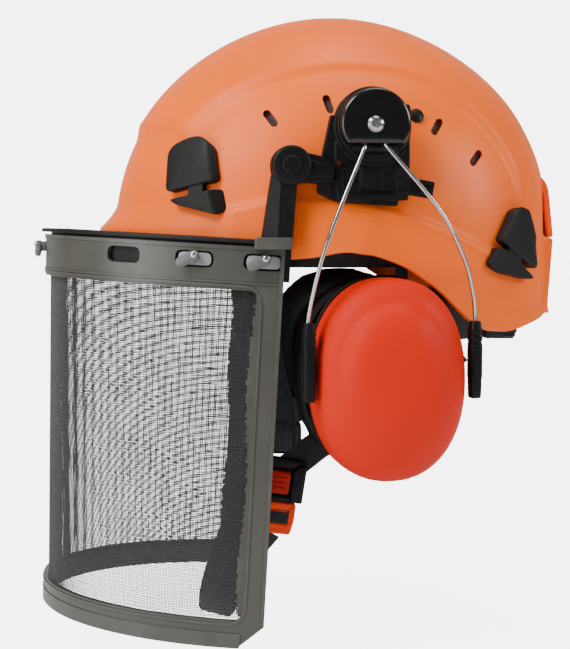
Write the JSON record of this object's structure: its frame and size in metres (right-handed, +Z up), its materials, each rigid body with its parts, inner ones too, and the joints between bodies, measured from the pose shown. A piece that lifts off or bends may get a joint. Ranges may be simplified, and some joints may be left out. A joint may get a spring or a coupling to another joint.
{
  "type": "forestry helmet",
  "caption": "Forestry helmet: orange shell with head suspension, flip-up mesh visor and sprung ear defenders on wire arms.",
  "frame": {"origin": "centre of the headband ring at brow level", "axes": "+Z up, the wearer faces -Y, the wearer's left is +X"},
  "size_m": [0.2768, 0.321, 0.3698],
  "materials": {
    "shell": "satin",
    "cup": "satin",
    "frame": "satin",
    "arm": "fine grain",
    "cap": "gloss",
    "clip": "satin",
    "wire": "bright drawn",
    "screw": "bright",
    "mesh": "black woven wire",
    "webbing": "woven",
    "padding": "soft knit over foam",
    "cushion": "soft artificial leather",
    "foam": "open foam",
    "suspension": "satin",
    "button": "satin",
    "tongue": "satin"
  },
  "bodies": {
    "helmet": {"helmet_shell": "shell", "front_lamp_clips": "clip", "rear_lamp_clips": "clip", "rear_lamp_hook": "cup", "shell_plugs": "clip", "headband": "suspension", "brow_pad": "padding", "nape_cradle": "suspension", "nape_pad": "padding", "fit_wheel_housing": "suspension", "lengthwise_crown_strap": "webbing", "crosswise_crown_strap": "webbing", "suspension_clips": "suspension", "crown_pad": "padding", "left_bracket": "arm", "right_bracket": "arm", "left_visor_mount": "arm", "right_visor_mount": "arm", "hinge_pins": "arm", "front_webbing": "webbing", "rear_webbing": "webbing", "strap_dividers": "clip", "chin_strap": "webbing", "buckle_body": "clip"},
    "fit_wheel": {"fit_wheel": "suspension", "fit_pinion": "suspension"},
    "left_rack": {"left_rack": "suspension"},
    "right_rack": {"right_rack": "suspension"},
    "visor": {"visor_frame": "frame", "visor_mesh": "mesh", "visor_carrier": "frame", "left_visor_arm": "arm", "right_visor_arm": "arm"},
    "buckle_button": {"buckle_button": "button"},
    "buckle_tongue": {"buckle_tongue": "tongue"},
    "left_rear_turn_lock": {"left_rear_turn_lock": "frame"},
    "left_middle_turn_lock": {"left_middle_turn_lock": "frame"},
    "front_turn_lock": {"front_turn_lock": "frame"},
    "right_middle_turn_lock": {"right_middle_turn_lock": "frame"},
    "right_rear_turn_lock": {"right_rear_turn_lock": "frame"},
    "left_hub": {"left_hub": "arm", "left_hub_cap": "cap", "left_hub_screw": "screw"},
    "left_arm": {"left_wires": "wire", "left_wire_knuckle": "arm"},
    "left_sleeves": {"left_sleeves": "clip"},
    "left_cup": {"left_cup_shell": "cup", "left_cup_base": "clip", "left_cup_foam": "foam", "left_ear_cushion": "cushion"},
    "right_hub": {"right_hub": "arm", "right_hub_cap": "cap", "right_hub_screw": "screw"},
    "right_arm": {"right_wires": "wire", "right_wire_knuckle": "arm"},
    "right_sleeves": {"right_sleeves": "clip"},
    "right_cup": {"right_cup_shell": "cup", "right_cup_base": "clip", "right_cup_foam": "foam", "right_ear_cushion": "cushion"}
  },
  "joints": [
    {"name": "visor_tilt", "type": "hinge", "parent": "helmet", "child": "visor", "pos_m": [0, -0.0344, 0.0382], "axis": [-1, 0, 0], "range_deg": [0, 95]},
    {"name": "fit_wheel_turn", "type": "hinge", "parent": "helmet", "child": "fit_wheel", "pos_m": [0, 0.1, -0.048], "axis": [0, 1, 0], "range_deg": [-70, 70]},
    {"name": "left_rack_slide", "type": "slide", "parent": "helmet", "child": "left_rack", "axis": [1, 0, 0], "range_m": [-0.0062, 0.0062]},
    {"name": "right_rack_slide", "type": "slide", "parent": "helmet", "child": "right_rack", "axis": [-1, 0, 0], "range_m": [-0.0062, 0.0062]},
    {"name": "left_hub_turn", "type": "hinge", "parent": "helmet", "child": "left_hub", "pos_m": [0.1117, 0.0104, 0.06], "axis": [1, 0, 0], "range_deg": [-3, 2]},
    {"name": "left_arm_swing", "type": "hinge", "parent": "left_hub", "child": "left_arm", "pos_m": [0.1165, 0.0104, 0.048], "axis": [0, -1, 0], "range_deg": [0, 15]},
    {"name": "left_cup_height", "type": "slide", "parent": "left_arm", "child": "left_sleeves", "axis": [0, 0, 1], "range_m": [-0.01, 0]},
    {"name": "left_cup_tilt", "type": "hinge", "parent": "left_sleeves", "child": "left_cup", "pos_m": [0.11582, 0.02124, -0.069], "axis": [-0.1392, 0.9903, 0], "range_deg": [-6, 0.5]},
    {"name": "right_hub_turn", "type": "hinge", "parent": "helmet", "child": "right_hub", "pos_m": [-0.1117, 0.0104, 0.06], "axis": [1, 0, 0], "range_deg": [-3, 2]},
    {"name": "right_arm_swing", "type": "hinge", "parent": "right_hub", "child": "right_arm", "pos_m": [-0.1165, 0.0104, 0.048], "axis": [0, 1, 0], "range_deg": [0, 15]},
    {"name": "right_cup_height", "type": "slide", "parent": "right_arm", "child": "right_sleeves", "axis": [0, 0, 1], "range_m": [-0.01, 0]},
    {"name": "right_cup_tilt", "type": "hinge", "parent": "right_sleeves", "child": "right_cup", "pos_m": [-0.11582, 0.02124, -0.069], "axis": [-0.1392, -0.9903, 0], "range_deg": [-6, 0.5]},
    {"name": "left_rear_lock_turn", "type": "hinge", "parent": "visor", "child": "left_rear_turn_lock", "pos_m": [0.10662, -0.04899, -0.01362], "axis": [0.9979, -0.0648, 0.0037], "range_deg": [0, 90]},
    {"name": "left_middle_lock_turn", "type": "hinge", "parent": "visor", "child": "left_middle_turn_lock", "pos_m": [0.09989, -0.08688, -0.01144], "axis": [0.9586, -0.2844, 0.0164], "range_deg": [0, 90]},
    {"name": "front_lock_turn", "type": "hinge", "parent": "visor", "child": "front_turn_lock", "pos_m": [0, -0.1754, -0.00633], "axis": [0, -0.9983, 0.0576], "range_deg": [0, 90]},
    {"name": "right_middle_lock_turn", "type": "hinge", "parent": "visor", "child": "right_middle_turn_lock", "pos_m": [-0.09989, -0.08688, -0.01144], "axis": [0.9586, 0.2844, -0.0164], "range_deg": [0, 90]},
    {"name": "right_rear_lock_turn", "type": "hinge", "parent": "visor", "child": "right_rear_turn_lock", "pos_m": [-0.10662, -0.04899, -0.01362], "axis": [0.9979, 0.0648, -0.0037], "range_deg": [0, 90]},
    {"name": "buckle_button_press", "type": "slide", "parent": "helmet", "child": "buckle_button", "axis": [-0.9987, 0.0038, 0.0517], "range_m": [0, 0.002], "stiffness_N_per_m": 600},
    {"name": "buckle_tongue_release", "type": "slide", "parent": "helmet", "child": "buckle_tongue", "axis": [-0.0517, -0.1477, -0.9877], "range_m": [0, 0.02], "deforming": ["chin_strap"]}
  ],
  "couplings": [
    {"joint": "left_rack_slide", "follows": "fit_wheel_turn", "m_per_rad": 0.005},
    {"joint": "right_rack_slide", "follows": "fit_wheel_turn", "m_per_rad": 0.005}
  ]
}
